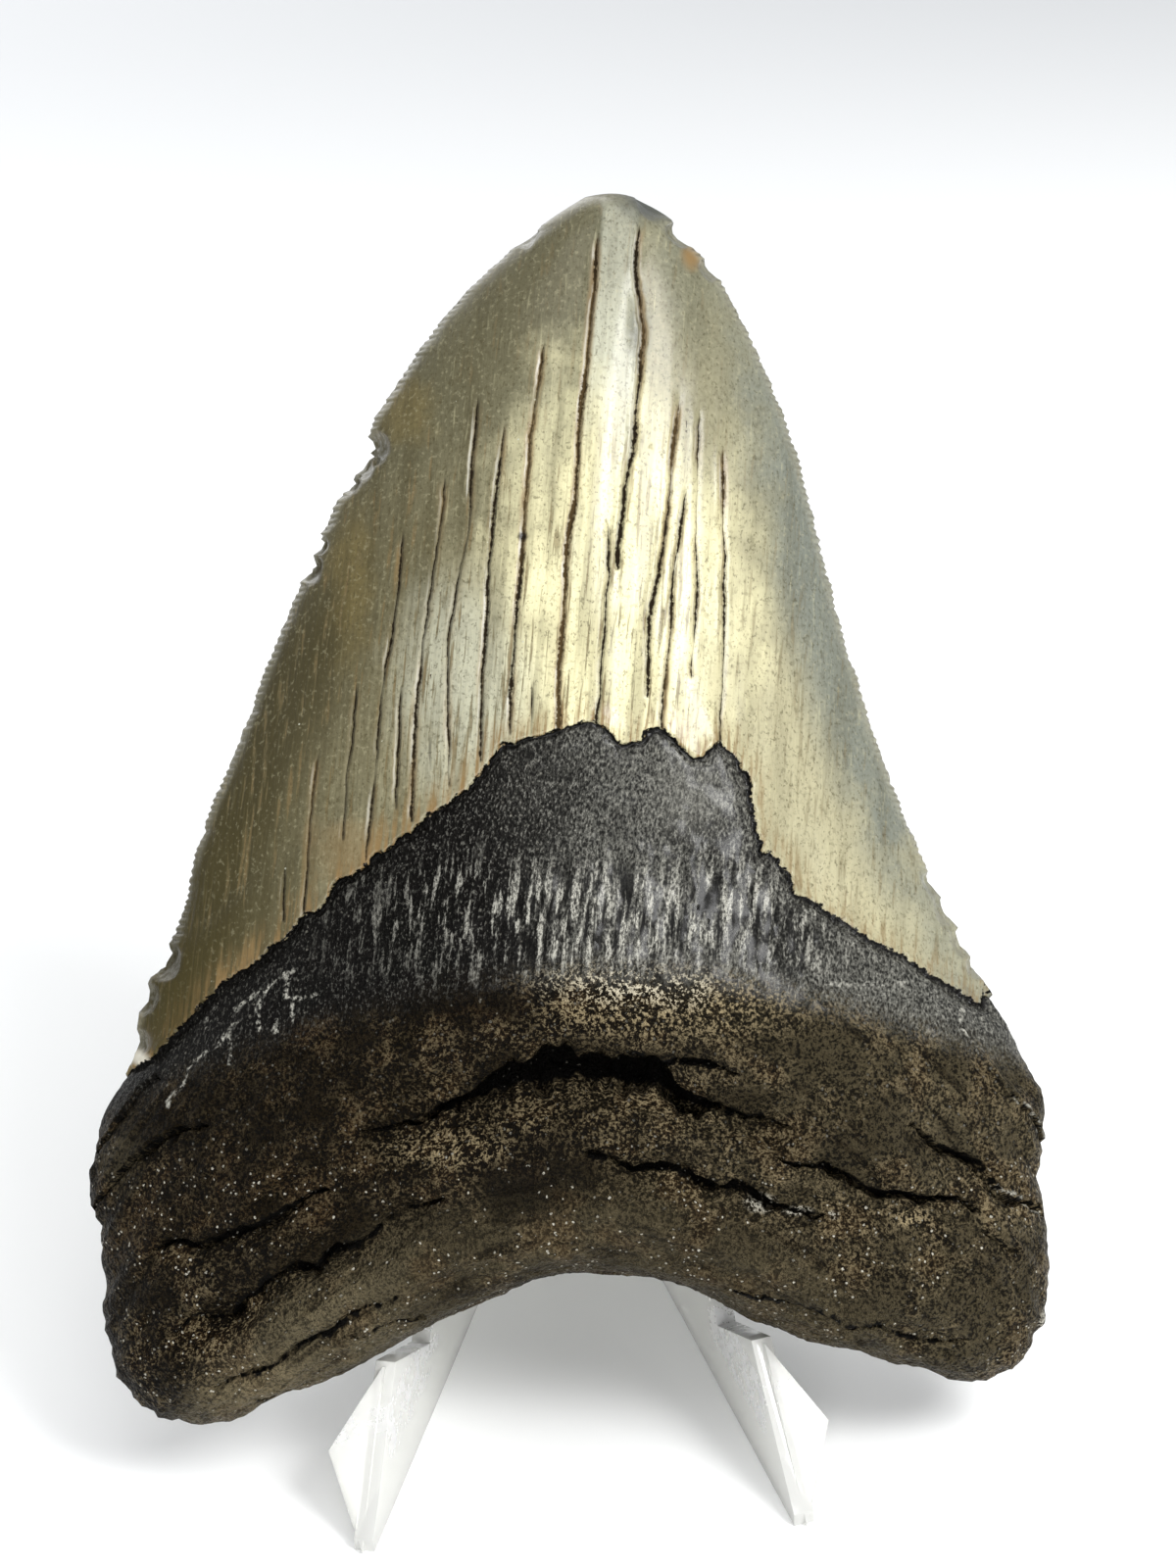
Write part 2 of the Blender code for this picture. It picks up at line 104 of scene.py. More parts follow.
# Each crack: half its width, then its points (z, x) from the bottom up, the cracks in order from the left.
CRACKS = (
    (0.07, (44.1, -34.3), (46.2, -34.6)),
    (0.08, (50.8, -28.4), (58.4, -28.1)),
    (0.09, (51.1, -26.2), (59.1, -25.8), (63.3, -25.4), (68.0, -24.7)),
    (0.09, (58.7, -22.5), (63.3, -22.3), (67.0, -21.7), (74.3, -21.2)),
    (0.11, (56.6, -20.3), (59.6, -19.8), (67.0, -19.2), (73.8, -18.5), (77.4, -17.9), (81.8, -17.2),
     (89.2, -16.7)),
    (0.10, (61.5, -17.4), (68.2, -17.2), (74.3, -16.8)),
    (0.15, (60.6, -15.9), (66.3, -15.7), (70.1, -15.5), (75.0, -15.0), (78.7, -14.5), (83.1, -14.0),
     (86.0, -13.5), (90.4, -13.0), (93.8, -12.7)),
    (0.08, (65.0, -14.2), (69.4, -14.1)),
    (0.13, (63.8, -12.3), (70.1, -12.5), (76.7, -12.4), (82.3, -11.6), (87.2, -10.6), (96.2, -10.0),
     (101.5, -9.6)),
    (0.15, (66.3, -9.3), (71.2, -9.2), (77.4, -8.8), (83.6, -8.6), (89.7, -8.0), (94.6, -7.4), (99.3, -6.8)),
    (0.19, (68.8, -6.5), (73.8, -6.2), (79.9, -5.8), (86.5, -5.2), (95.8, -4.7), (101.1, -3.8),
     (106.4, -3.2)),
    (0.08, (68.2, -4.4), (74.3, -4.4)),
    (0.24, (68.8, -1.9), (73.8, -1.8), (79.9, -1.4), (86.0, -1.0), (90.0, -0.3), (94.9, 0.0), (98.6, 0.3),
     (103.5, 0.8), (108.4, 1.3), (113.3, 1.7), (117.2, 2.1)),
    (0.16, (68.8, 1.7), (71.2, 2.1), (76.2, 2.4), (82.3, 2.9), (89.4, 3.0)),
    (0.24, (84.8, 3.8), (87.8, 4.1), (91.4, 4.5), (94.9, 5.3), (99.8, 5.7), (103.9, 6.0), (106.4, 6.3),
     (109.0, 6.0), (112.0, 5.6), (114.5, 5.6), (118.0, 6.1)),
    (0.17, (72.5, 6.6), (78.7, 6.9), (82.3, 7.7), (86.0, 8.2), (90.4, 8.7), (95.8, 9.1), (101.7, 10.0)),
    (0.17, (68.8, 8.0), (72.5, 8.3), (77.4, 8.8), (82.3, 9.1), (87.2, 9.9), (92.1, 10.6)),
    (0.11, (74.2, 10.8), (77.4, 11.1), (81.1, 11.4), (87.2, 11.4), (93.4, 11.5), (100.8, 11.9)),
    (0.14, (67.6, 13.5), (71.2, 13.8), (76.2, 14.0), (81.1, 14.0), (84.8, 14.2), (88.0, 13.9), (96.8, 14.1)),
)
# Each split of the root: its depth, half its width, how far its upper lip hangs over and how far its lower
# shelf is set back, then its points (x, z) from left to right.
SPLITS = (
    (4.0, 1.85, 0.8, 1.6, (-20.0, 29.6), (-18.3, 30.3), (-13.4, 32.2), (-7.2, 34.4), (-6.0, 35.4),
     (-1.1, 36.2), (5.0, 35.2), (7.5, 35.4), (9.2, 33.8), (12.4, 32.2), (14.8, 32.0), (20.0, 30.2)),
    (1.8, 0.55, 0.3, 0.5, (5.2, 37.3), (6.2, 36.9), (13.1, 36.4), (14.6, 35.4)),
    (2.4, 0.50, 0.4, 1.0, (1.2, 27.3), (6.5, 26.6), (9.9, 26.2), (11.2, 25.4), (14.8, 24.4), (16.1, 23.9),
     (23.0, 21.8)),
    (2.2, 0.50, 0.5, 0.9, (19.0, 27.0), (23.0, 26.2), (27.1, 24.5), (29.5, 23.8), (33.7, 22.7), (36.7, 23.0),
     (38.5, 22.1)),
    (1.0, 0.22, 0.2, 0.4, (14.4, 14.7), (17.5, 13.6), (22.0, 12.5), (25.8, 11.3), (29.9, 10.3), (33.7, 9.6),
     (37.1, 9.4)),
    (2.2, 0.48, 0.3, 0.9, (32.2, 30.6), (33.0, 29.7), (35.7, 27.3), (38.5, 25.9), (40.5, 23.8), (44.6, 21.4),
     (45.4, 20.4)),
    (1.0, 0.30, 0.2, 0.5, (42.2, 32.8), (43.9, 30.7), (45.3, 28.7), (45.9, 26.9)),
    (0.7, 0.22, 0.1, 0.3, (39.5, 19.7), (41.9, 17.7)),
    (1.6, 0.42, 0.3, 0.9, (-40.6, 17.8), (-39.9, 18.2), (-38.1, 18.8), (-35.0, 19.2), (-30.0, 21.0),
     (-24.0, 24.6)),
    (2.3, 0.50, 0.4, 1.0, (-38.7, 9.9), (-37.1, 11.4), (-33.8, 11.7), (-31.9, 13.6), (-29.5, 15.5),
     (-27.7, 16.5), (-24.9, 16.4), (-23.9, 17.6), (-20.3, 19.1), (-17.2, 21.5), (-13.1, 23.4)),
    (1.3, 0.28, 0.2, 0.4, (-34.7, 4.7), (-32.6, 6.0), (-29.8, 7.1), (-25.5, 9.6), (-21.5, 12.4),
     (-17.4, 14.0)),
    (0.7, 0.22, 0.1, 0.3, (-21.0, 10.2), (-15.1, 12.0)),
    (1.2, 0.30, 0.3, 0.6, (-47.2, 21.7), (-45.4, 24.5), (-43.4, 26.5), (-40.8, 28.2), (-36.0, 30.4)),
    (0.7, 0.22, 0.1, 0.2, (-30.8, 2.9), (-28.3, 3.9)),
    (0.9, 0.20, 0.3, 0.4, (-47.0, 26.6), (-44.8, 29.9), (-42.6, 33.1), (-41.1, 34.6)),
)
# Each chip out of the cutting edges: its middle (x, z), how far it reaches, and how deep it goes.
CHIPS = ((-19.8, 95.6, 1.5, 1.5), (-21.3, 94.0, 1.4, 1.2), (-22.6, 92.2, 1.0, 0.8), (-25.8, 86.2, 1.1, 0.9),
         (-26.4, 83.9, 1.3, 1.2), (-40.4, 45.4, 1.7, 1.3), (-42.6, 41.8, 1.5, 0.9), (-42.9, 37.6, 1.2, 0.6),
         (10.2, 116.6, 1.3, 0.9), (13.0, 113.2, 1.1, 0.6), (35.4, 53.0, 1.5, 0.7), (36.6, 50.3, 1.6, 0.9),
         (38.0, 47.4, 1.5, 0.9), (39.2, 44.9, 1.2, 0.6), (-5.4, 116.4, 1.2, 0.5), (7.4, 119.6, 1.6, 0.7))
# The enamel's step over the root and the groove under it, the raised strip between the two longest
# cracks, the slant of the enamel's fibres, and how the root's layers bow over the arch.
ENAMEL_STEP = 0.55
STEP_GROOVE = 0.22
STRIP_HEIGHT = 0.20
STRIP_CRACKS = (12, 14)
FIBRE_SLANT = 0.085
LAYER_BOW = 0.016
# Where the serrated blade starts, and how far in from its edges their marks are kept.
BLADE_FOOT = 36
MARGIN_REACH = 20
# How many random heights the lumps and the swings draw, and the primes that scatter the lumps.
LUMP_HEIGHTS = 4096
SWING_HEIGHTS = 400
SCATTER = (73856093, 19349663, 83492791)


def grain(places, size, seed):
    """Soft random lumps, from -1 to 1, of about a size in mm, or of one size each way."""
    rng = np.random.default_rng(seed)
    heights = rng.random(LUMP_HEIGHTS)
    spot = places / np.asarray(size, float) + rng.random(3) * 50
    cell = np.floor(spot).astype(np.int64)
    part = spot - cell
    part = part * part * (3 - 2 * part)
    total = np.zeros(len(places))
    for corner in itertools.product((0, 1), repeat=3):
        pick = np.bitwise_xor.reduce((cell + corner) * SCATTER, axis=1)
        weight = np.where(corner, part, 1 - part).prod(axis=1)
        total += heights[pick % LUMP_HEIGHTS] * weight
    return 2 * total - 1


def sway(value, size, seed):
    """Soft random swings, from -1 to 1, along one direction."""
    rng = np.random.default_rng(seed)
    heights = rng.random(SWING_HEIGHTS) * 2 - 1
    spot = value / size + 150
    cell = np.floor(spot).astype(np.int64)
    part = spot - cell
    part = part * part * (3 - 2 * part)
    return heights[cell % SWING_HEIGHTS] * (1 - part) + heights[(cell + 1) % SWING_HEIGHTS] * part


def off_line(x, z, line, reach):
    """How far a place is from a line across the tooth, in mm, to a reach."""
    corners = np.array(line)
    low, high = corners.min(axis=0) - reach, corners.max(axis=0) + reach
    nearby = (x > low[0]) & (x < high[0]) & (z > low[1]) & (z < high[1])
    px, pz = x[nearby], z[nearby]
    best = np.full(px.shape, float(reach))
    for (x0, z0), (x1, z1) in zip(corners, corners[1:]):
        run = math.hypot(x1 - x0, z1 - z0)
        dx, dz = (x1 - x0) / run, (z1 - z0) / run
        t = np.clip((px - x0) * dx + (pz - z0) * dz, 0, run)
        best = np.minimum(best, np.hypot(px - x0 - dx * t, pz - z0 - dz * t))
    gap = np.full(x.shape, float(reach))
    gap[nearby] = best
    return gap


def past_line(x, z, line, reach=8.0):
    """How far a place is above (+) or below (-) a line right across the tooth, in mm, to a reach."""
    return np.sign(z - np.interp(x, *np.array(line).T)) * off_line(x, z, line, reach)


def ramp(value, low, high):
    """0 up to low, 1 from high, and an even curve between."""
    t = np.clip((value - low) / (high - low), 0, 1)
    return t * t * (3 - 2 * t)


# The blade's two cutting edges, read from the frame: the outline's points where the tooth has no thickness.
rim = in_tooth(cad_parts["megalodon_tooth"].data)
rim = np.unique(rim[np.abs(rim[:, 1]) < 0.01].round(3), axis=0)
blade_rim = rim[rim[:, 2] > BLADE_FOOT]
cutting_edges = []
for side in (blade_rim[blade_rim[:, 0] < 3], blade_rim[blade_rim[:, 0] > 6]):
    cutting_edges.append(side[np.argsort(side[:, 2])])


def rim_run(edge):
    """The length of a cutting edge up to each of its points, in mm."""
    steps = np.hypot(np.diff(edge[:, 0]), np.diff(edge[:, 2]))
    return np.concatenate(([0], np.cumsum(steps)))


def tooth_marks(places):
    """What each place of the tooth is: a dictionary of masks, and its height over the plain form in mm."""
    x, y, z = places.T
    front = ramp(-y, -0.1, 0.5)
    wander = places + 0.30 * np.column_stack([grain(places, 1.3, seed) for seed in (1, 2, 3)])
    wander += 0.20 * np.column_stack([grain(places, 0.45, seed) for seed in (4, 5, 6)])
    shown_edge = past_line(wander[:, 0], wander[:, 2], ENAMEL_EDGE)
    hidden_edge = past_line(wander[:, 0], wander[:, 2], BACK_ENAMEL_EDGE)
    enamel = shown_edge * front + hidden_edge * (1 - front)
    on_enamel = ramp(enamel, -0.1, 0.1)

    left, right = cutting_edges
    off_left = (x - np.interp(z, left[:, 2], left[:, 0])) * 0.93
    off_right = (np.interp(z, right[:, 2], right[:, 0]) - x) * 0.96
    margin = np.clip(np.minimum(off_left, off_right), 0, MARGIN_REACH)
    margin[z < BLADE_FOOT] = MARGIN_REACH

    height = ENAMEL_STEP * ramp(enamel, -0.12, 0.12) - 0.5 * ramp(enamel, -2.5, 2.5)
    height -= STEP_GROOVE * np.exp(-((enamel + 0.3) / 0.22) ** 2)
    fields = {}
    for turn in (0, 1):
        best = np.full(len(x), 9.0)
        beside = np.full(len(x), 9.0)
        gape = np.zeros(len(x))
        for number, (width, *points) in list(enumerate(CRACKS))[turn::2]:
            up, across = np.array(points).T
            bend = 0.09 * sway(z, 3.2, 50 + number) + 0.06 * sway(z, 0.9, 80 + number)
            aside = x - np.interp(z, up, across) - bend
            last = ramp(z, up[0] - 1.8, up[0] - 0.8) * ramp(-z, -up[-1] - 0.5, -up[-1] + 5.0)
            swing = 0.75 + 0.40 * sway(z, 4.0, 110 + number)
            score = np.abs(aside) + 6 * (last < 0.01)
            nearer = score < best
            best = np.where(nearer, score, best)
            beside = np.where(nearer, aside, beside)
            gape = np.where(nearer, width * last * swing, gape)
        gape *= 0.66 * front * on_enamel * ramp(-np.abs(beside), -1.0, -0.75)
        wide = np.maximum(1.5 * gape, 0.26)
        groove = np.exp(-(beside / wide) ** 2)
        lip = np.exp(-((beside + 0.55) / 0.30) ** 2)
        height += gape * (0.45 * lip - 1.6 * groove)
        fields["beside_%d" % turn] = np.clip(beside, -2, 2)
        fields["gape_%d" % turn] = gape

    split = np.zeros(len(x))
    ledge = np.zeros(len(x))
    root = (1 - on_enamel) * front
    uneven = 0.30 * grain(places, 0.9, 40) + 0.12 * grain(places, 0.4, 41)
    for number, (depth, width, hang, shelf, *points) in enumerate(SPLITS):
        across, up = np.array(points).T
        bend = 0.45 * sway(x, 2.6, 140 + number) + uneven
        aside = z - np.interp(x, across, up) - bend
        share = np.clip((x - across[0] + 0.6) / (across[-1] - across[0] + 1.2), 0, 1)
        last = root * np.sin(np.pi * share) ** 0.7
        swing = 0.80 + 0.24 * sway(x, 3.4, 170 + number) + 0.20 * sway(x, 1.1, 200 + number)
        wide = np.clip(width * swing * np.sin(np.pi * share) ** (0.9 + 0.9 * width), 0.13, None)
        gap = root * ramp(last, 0.02, 0.25) * np.exp(-np.abs(aside / wide) ** 3)
        split = np.maximum(split, gap * min(1, depth / 1.2))
        height -= depth * gap
        over = ramp(aside, -0.35, 0.35)
        height += last * hang * over * np.exp(-np.clip(aside, 0, None) / 2.2)
        below = last * (1 - over) * np.exp(-np.clip(-aside, 0, None) / (1.2 + 1.6 * shelf))
        height -= shelf * below
        ledge = np.maximum(ledge, below * min(1, shelf))

    band = root * ramp(z - np.interp(x, *np.array(BAND_FOOT).T), -2.5, 2.0)
    stone = 1 - on_enamel
    rough = stone * (1 - 0.75 * band)
    layered = places.copy()
    layered[:, 2] += LAYER_BOW * x * x
    height += rough * (0.34 * grain(places, 8.0, 11) + 0.34 * grain(layered, (9.0, 5.0, 2.2), 12)
                       + 0.22 * grain(layered, (3.4, 2.0, 1.0), 13) + 0.13 * grain(places, 0.8, 14))
    tilted = places.copy()
    tilted[:, 0] -= FIBRE_SLANT * (z - 60)
    striae = grain(tilted, (0.55, 2.0, 4.5), 16) + 0.6 * grain(tilted, (0.45, 2.0, 1.6), 17)
    pitted = ramp(z, 42, 47) * ramp(-z, -60, -54) * ramp(-np.abs(x - 3), -26, -14)
    height += band * (0.05 + 0.11 * pitted) * striae
    height += on_enamel * (0.030 * grain(tilted, (0.9, 3.0, 30.0), 18)
                           + 0.05 * grain(tilted, (3.0, 4.0, 40.0), 19) + 0.05 * grain(places, 6.0, 20))

    strip_left, strip_right = (np.interp(z, *np.array(CRACKS[number][1:]).T) for number in STRIP_CRACKS)
    strip = ramp(x, strip_left, strip_left + 0.5) * ramp(-x, -strip_right, -strip_right + 0.5)
    strip *= ramp(z, 76, 92) * ramp(-z, -120.5, -118.5) * front
    height += STRIP_HEIGHT * strip

    chip = np.zeros(len(x))
    for cx, cz, reach, depth in CHIPS:
        off = np.hypot(x - cx, (z - cz) * 0.85) / reach + 0.13 * grain(places, 1.1, 30)
        scoop = np.clip(1 - off * off, 0, 1)
        chip = np.maximum(chip, scoop * (margin < MARGIN_REACH))
        height -= 0.8 * depth * front * scoop ** 0.6
    along = np.where(off_left < off_right, np.interp(z, left[:, 2], rim_run(left)),
                     np.interp(z, right[:, 2], rim_run(right)))
    vein = np.full(len(x), 2.0)
    for line in VEINS:
        vein = np.minimum(vein, off_line(wander[:, 0], wander[:, 2], line, 2.0))
    return {"vein": vein, "enamel": enamel, "split": split, "ledge": ledge, "band": band, "margin": margin,
            "chip": chip, "strip": strip, "front": front, "along": along, "height": height, **fields}


# The tooth, stone. The frame's solid is copied, rounded, covered evenly with small faces, and worked at
# a fraction of a millimetre: cracks, splits, chips, the enamel's step and the saw edge of the blade.
# PORE is in metres; the saw teeth's spacing and depth are in mm.
PORE = 0.00020
TOOTH_FACES = 194000
SERRATION = 0.74
SAW_DEPTH = 0.36
tooth = bpy.data.objects.new("fossil_tooth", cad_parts["megalodon_tooth"].data.copy())
bpy.context.collection.objects.link(tooth)
bpy.ops.object.select_all(action="DESELECT")
tooth.select_set(True)
bpy.context.view_layer.objects.active = tooth
bpy.ops.object.mode_set(mode="EDIT")
bpy.ops.mesh.select_all(action="SELECT")
bpy.ops.mesh.remove_doubles(threshold=0.00001)
bpy.ops.mesh.tris_convert_to_quads(face_threshold=math.radians(60), shape_threshold=math.radians(60))
bpy.ops.object.mode_set(mode="OBJECT")
rounding = tooth.modifiers.new("rounding", "SUBSURF")
rounding.levels = rounding.render_levels = 2
bpy.ops.object.modifier_apply(modifier=rounding.name)

# The frame's plain step of the enamel is worn level first, and the ragged one is cut later.
places = in_tooth(tooth.data)
steps = np.minimum(np.abs(past_line(places[:, 0], places[:, 2], ENAMEL_EDGE)),
                   np.abs(past_line(places[:, 0], places[:, 2], BACK_ENAMEL_EDGE)))
level = tooth.vertex_groups.new(name="level")
weights = ramp(-steps, -4.0, -2.0) * ramp(np.abs(places[:, 1]), 1.0, 3.0)
for index, weight in enumerate(weights):
    if weight > 0:
        level.add([index], weight, "REPLACE")
wear = tooth.modifiers.new("wear", "SMOOTH")
wear.vertex_group = level.name
wear.factor = 0.5
wear.iterations = 24
bpy.ops.object.modifier_apply(modifier=wear.name)
tooth.vertex_groups.clear()

skin = tooth.modifiers.new("skin", "REMESH")
skin.mode = "VOXEL"
skin.voxel_size = PORE
bpy.ops.object.modifier_apply(modifier=skin.name)
polish = tooth.modifiers.new("polish", "SMOOTH")
polish.factor = 0.5
polish.iterations = 6
bpy.ops.object.modifier_apply(modifier=polish.name)

places = in_tooth(tooth.data)
marks = tooth_marks(places)
outward = np.empty(len(places) * 3)
tooth.data.vertices.foreach_get("normal", outward)
outward = outward.reshape(-1, 3) @ np.array(turned)
places += outward * marks["height"][:, None]
x, y, z = places.T

# Along both cutting edges: the saw teeth, hollowed between them, and the notches that broke out.
for edge, hand in zip(cutting_edges, (-1, 1)):
    along = np.interp(z, edge[:, 2], rim_run(edge))
    along = along + 0.30 * sway(along, 3.0, 220 + hand)
    saw = np.abs(np.sin(np.pi * along / SERRATION)) ** 0.8
    off = np.clip(hand * (np.interp(z, edge[:, 2], edge[:, 0]) - x), 0, None)
    keep = ramp(z, 43, 46) * ramp(-z, -118.5, -116)
    near = keep * np.exp(-(off / 0.8) ** 2) * (0.7 + 0.3 * sway(along, 5.0, 250 + hand))
    places[:, 0] += hand * SAW_DEPTH * (saw - 0.72) * near
    places[:, 1] -= np.sign(y) * 0.08 * (1 - saw) * keep * np.exp(-(off / 0.6) ** 2)
    bite = 0.0
    for cx, cz, reach, depth in CHIPS:
        if (cx < 3) == (hand < 0):
            bite = bite + 0.75 * depth * np.clip(1 - ((z - cz) / (0.9 * reach)) ** 2, 0, 1)
    bite = bite + keep * (0.10 + 0.14 * sway(z, 1.7, 230 + hand) + 0.10 * sway(z, 0.7, 240 + hand))
    places[:, 0] -= hand * bite * np.exp(-(off / 1.4) ** 2)
put_in_tooth(tooth.data, places)

# The hidden back and the plain stone are thinned more than the worked places.
worked = np.maximum(marks["gape_0"] > 0.02, marks["gape_1"] > 0.02) + (np.abs(marks["enamel"]) < 0.7)
worked = worked + (marks["split"] > 0.05) + (marks["margin"] < 1.2)
detail = np.clip(0.42 + 0.58 * (1 - marks["front"]) - 0.4 * (worked > 0), 0.02, 1)
thin = tooth.vertex_groups.new(name="thin")
for share in np.unique(detail.round(1)):
    thin.add(np.flatnonzero(detail.round(1) == share).tolist(), float(share), "REPLACE")
fewer = tooth.modifiers.new("fewer", "DECIMATE")
fewer.vertex_group = thin.name
fewer.vertex_group_factor = 0.5
fewer.ratio = TOOTH_FACES / (2 * len(tooth.data.polygons))
bpy.ops.object.modifier_apply(modifier=fewer.name)
tooth.vertex_groups.clear()
bpy.ops.object.shade_smooth()
marks = tooth_marks(in_tooth(tooth.data))
marks.pop("height")
for name, values in marks.items():
    attribute = tooth.data.attributes.new(name, "FLOAT", "POINT")
    attribute.data.foreach_set("value", values.astype(np.float32))


# The tooth, looks. The enamel is olive grey to cream, glossy, stained amber along its cracks and lower
# edge. Below it comes a blue-black band, then the dark brown root with its tan grains. Places in the
# stains are (x, z) on the shown face, in mm.
NICK_SPACING = 3.6
FLECK_SPACING = 0.8
FINE_RELIEF = 0.00045


def add_node(tree, kind, inputs=(), **settings):
    """Adds a shader node; inputs maps its sockets to values or to other nodes' outputs."""
    node = tree.nodes.new("ShaderNode" + kind)
    for name, value in settings.items():
        setattr(node, name, value)
    for socket, value in dict(inputs).items():
        if isinstance(value, bpy.types.NodeSocket):
            tree.links.new(value, node.inputs[socket])
        else:
            node.inputs[socket].default_value = value
    return node


def work(tree, operation, *values):
    """A Math node's output."""
    return add_node(tree, "Math", dict(enumerate(values)), operation=operation).outputs[0]


def times(tree, *factors):
    """Masks multiplied together, or a mask at a share."""
    product = factors[0]
    for factor in factors[1:]:
        product = work(tree, "MULTIPLY", product, factor)
    return product


def all_but(tree, mask, share=1.0):
    """1 less a share of a mask."""
    return work(tree, "SUBTRACT", 1.0, times(tree, mask, share))


def rise(tree, value, low, high, to_low=0.0, to_high=1.0):
    """A smooth change from one level to another while value goes from low to high."""
    levels = {"Value": value, "From Min": low, "From Max": high, "To Min": to_low, "To Max": to_high}
    return add_node(tree, "MapRange", levels, interpolation_type="SMOOTHSTEP").outputs[0]


def tint(tree, share, under, over):
    """One colour laid over another, at a share from 0 to 1."""
    node = add_node(tree, "Mix", {0: share, 6: under, 7: over}, data_type="RGBA")
    return node.outputs[2]


def layered(tree, under, layers):
    """One colour with others laid over it in turn, each as (share, colour)."""
    for share, over in layers:
        under = tint(tree, share, under, over)
    return under


def grains(tree, where, size, detail=3.0, roughness=0.55, stretch=(1, 1, 1)):
    """Random lumps of a size in mm, from 0 to 1."""
    if stretch != (1, 1, 1):
        where = add_node(tree, "Mapping", {"Vector": where, "Scale": stretch}).outputs[0]
    noise = {"Vector": where, "Scale": 1 / size, "Detail": detail, "Roughness": roughness}
    return add_node(tree, "TexNoise", noise).outputs[0]


def mark(tree, name):
    """The tooth's own mask of that name."""
    return add_node(tree, "Attribute", attribute_name=name).outputs["Fac"]


def patch_group():
    """A soft-edged, ragged stain about a centre: one mask, for colours that lie in patches."""
    group = bpy.data.node_groups.new("ragged_patch", "ShaderNodeTree")
    for name, kind in (("Place", "Vector"), ("Centre", "Vector"), ("Reach", "Vector"), ("Ragged", "Float")):
        group.interface.new_socket(name, in_out="INPUT", socket_type="NodeSocket" + kind)
    group.interface.new_socket("Mask", in_out="OUTPUT", socket_type="NodeSocketFloat")
    given = group.nodes.new("NodeGroupInput").outputs
    off = add_node(group, "VectorMath", {0: given["Place"], 1: given["Centre"]}, operation="SUBTRACT")
    share = add_node(group, "VectorMath", {0: off.outputs[0], 1: given["Reach"]}, operation="DIVIDE")
    far = add_node(group, "VectorMath", {0: share.outputs[0]}, operation="LENGTH").outputs["Value"]
    lumps = grains(group, given["Place"], 5.0, detail=5.0)
    uneven = times(group, work(group, "SUBTRACT", lumps, 0.5), given["Ragged"])
    far = work(group, "ADD", far, uneven)
    result = group.nodes.new("NodeGroupOutput")
    group.links.new(rise(group, far, 1.15, 0.35), result.inputs["Mask"])
    return group


ragged_patch = patch_group()


def patch(tree, where, centre, reach, ragged=1.2):
    """The mask of the ragged_patch group, with its middle (x, z) and its reach (x, z) in mm."""
    values = {"Place": where, "Centre": (centre[0], 0, centre[1]), "Reach": (reach[0], 60, reach[1]),
              "Ragged": ragged}
    return add_node(tree, "Group", values, node_tree=ragged_patch).outputs["Mask"]


def stained(tree, under, stains):
    """One colour with ragged stains on it, each as (colour, middle, reach, share, raggedness)."""
    for over, centre, reach, share, ragged in stains:
        under = tint(tree, times(tree, patch(tree, where, centre, reach, ragged), share), under, over)
    return under


OLIVE = (0.175, 0.163, 0.100, 1)
DARK_OLIVE = (0.042, 0.034, 0.012, 1)
OCHRE = (0.135, 0.104, 0.038, 1)
SMOKE = (0.105, 0.106, 0.072, 1)
SOOT = (0.070, 0.074, 0.064, 1)
CREAM = (0.660, 0.615, 0.375, 1)
BRONZE = (0.090, 0.077, 0.037, 1)
KHAKI = (0.400, 0.370, 0.235, 1)
SLATE = (0.140, 0.150, 0.125, 1)
SILVER = (0.390, 0.390, 0.300, 1)
AMBER = (0.190, 0.122, 0.050, 1)
CRACK_BLACK = (0.012, 0.008, 0.004, 1)
CRACK_BROWN = (0.062, 0.040, 0.016, 1)
PALE_EDGE = (0.330, 0.315, 0.235, 1)
FRESH_CHIP = (0.195, 0.190, 0.155, 1)
BAND_BLUE = (0.0065, 0.0060, 0.0050, 1)
BAND_GREY = (0.125, 0.123, 0.106, 1)
PALE_STREAK_AND_GLINT = (0.580, 0.565, 0.490, 1)
ROOT_BROWN = (0.0095, 0.0064, 0.0027, 1)
ROOT_OLIVE = (0.070, 0.057, 0.032, 1)
LOBE_OLIVE = (0.135, 0.112, 0.066, 1)
ROOT_TAN = (0.330, 0.262, 0.150, 1)
ROOT_GLINT = (0.620, 0.560, 0.420, 1)
ROOT_RUST = (0.070, 0.042, 0.018, 1)
SPLIT_AND_SHADE_BLACK = (0.003, 0.0026, 0.002, 1)
SPECK = (0.560, 0.530, 0.440, 1)

fossil = bpy.data.materials.new("fossil_tooth")
fossil.use_nodes = True
tree = fossil.node_tree
shader = tree.nodes["Principled BSDF"]
shader.inputs["Specular IOR Level"].default_value = 0.05
shader.inputs["Coat Roughness"].default_value = 0.22
world = add_node(tree, "TexCoord").outputs["Object"]
where = add_node(tree, "Mapping", {"Vector": world, "Location": seat, "Rotation": turned.to_euler("XYZ"),
                                   "Scale": (0.001, 0.001, 0.001)}, vector_type="TEXTURE").outputs[0]
axis = add_node(tree, "SeparateXYZ", {0: where}).outputs
aslant = work(tree, "MULTIPLY_ADD", axis[2], -FIBRE_SLANT, axis[0])
fibre = add_node(tree, "CombineXYZ", {0: aslant, 1: axis[1], 2: axis[2]}).outputs[0]
streaks = grains(tree, fibre, 1.8, detail=6.0, stretch=(1, 0.3, 0.06))
fine_streaks = grains(tree, fibre, 0.42, detail=4.0, stretch=(1, 0.3, 0.05))
clouds = grains(tree, where, 12.0, detail=6.0)
dapple = grains(tree, where, 0.45, detail=3.0)
pores = grains(tree, where, 0.28, detail=2.0, stretch=(1, 1, 0.7))
margin = mark(tree, "margin")
on_left = rise(tree, axis[0], 8.0, -4.0)
on_right = rise(tree, axis[0], 4.0, 12.0)

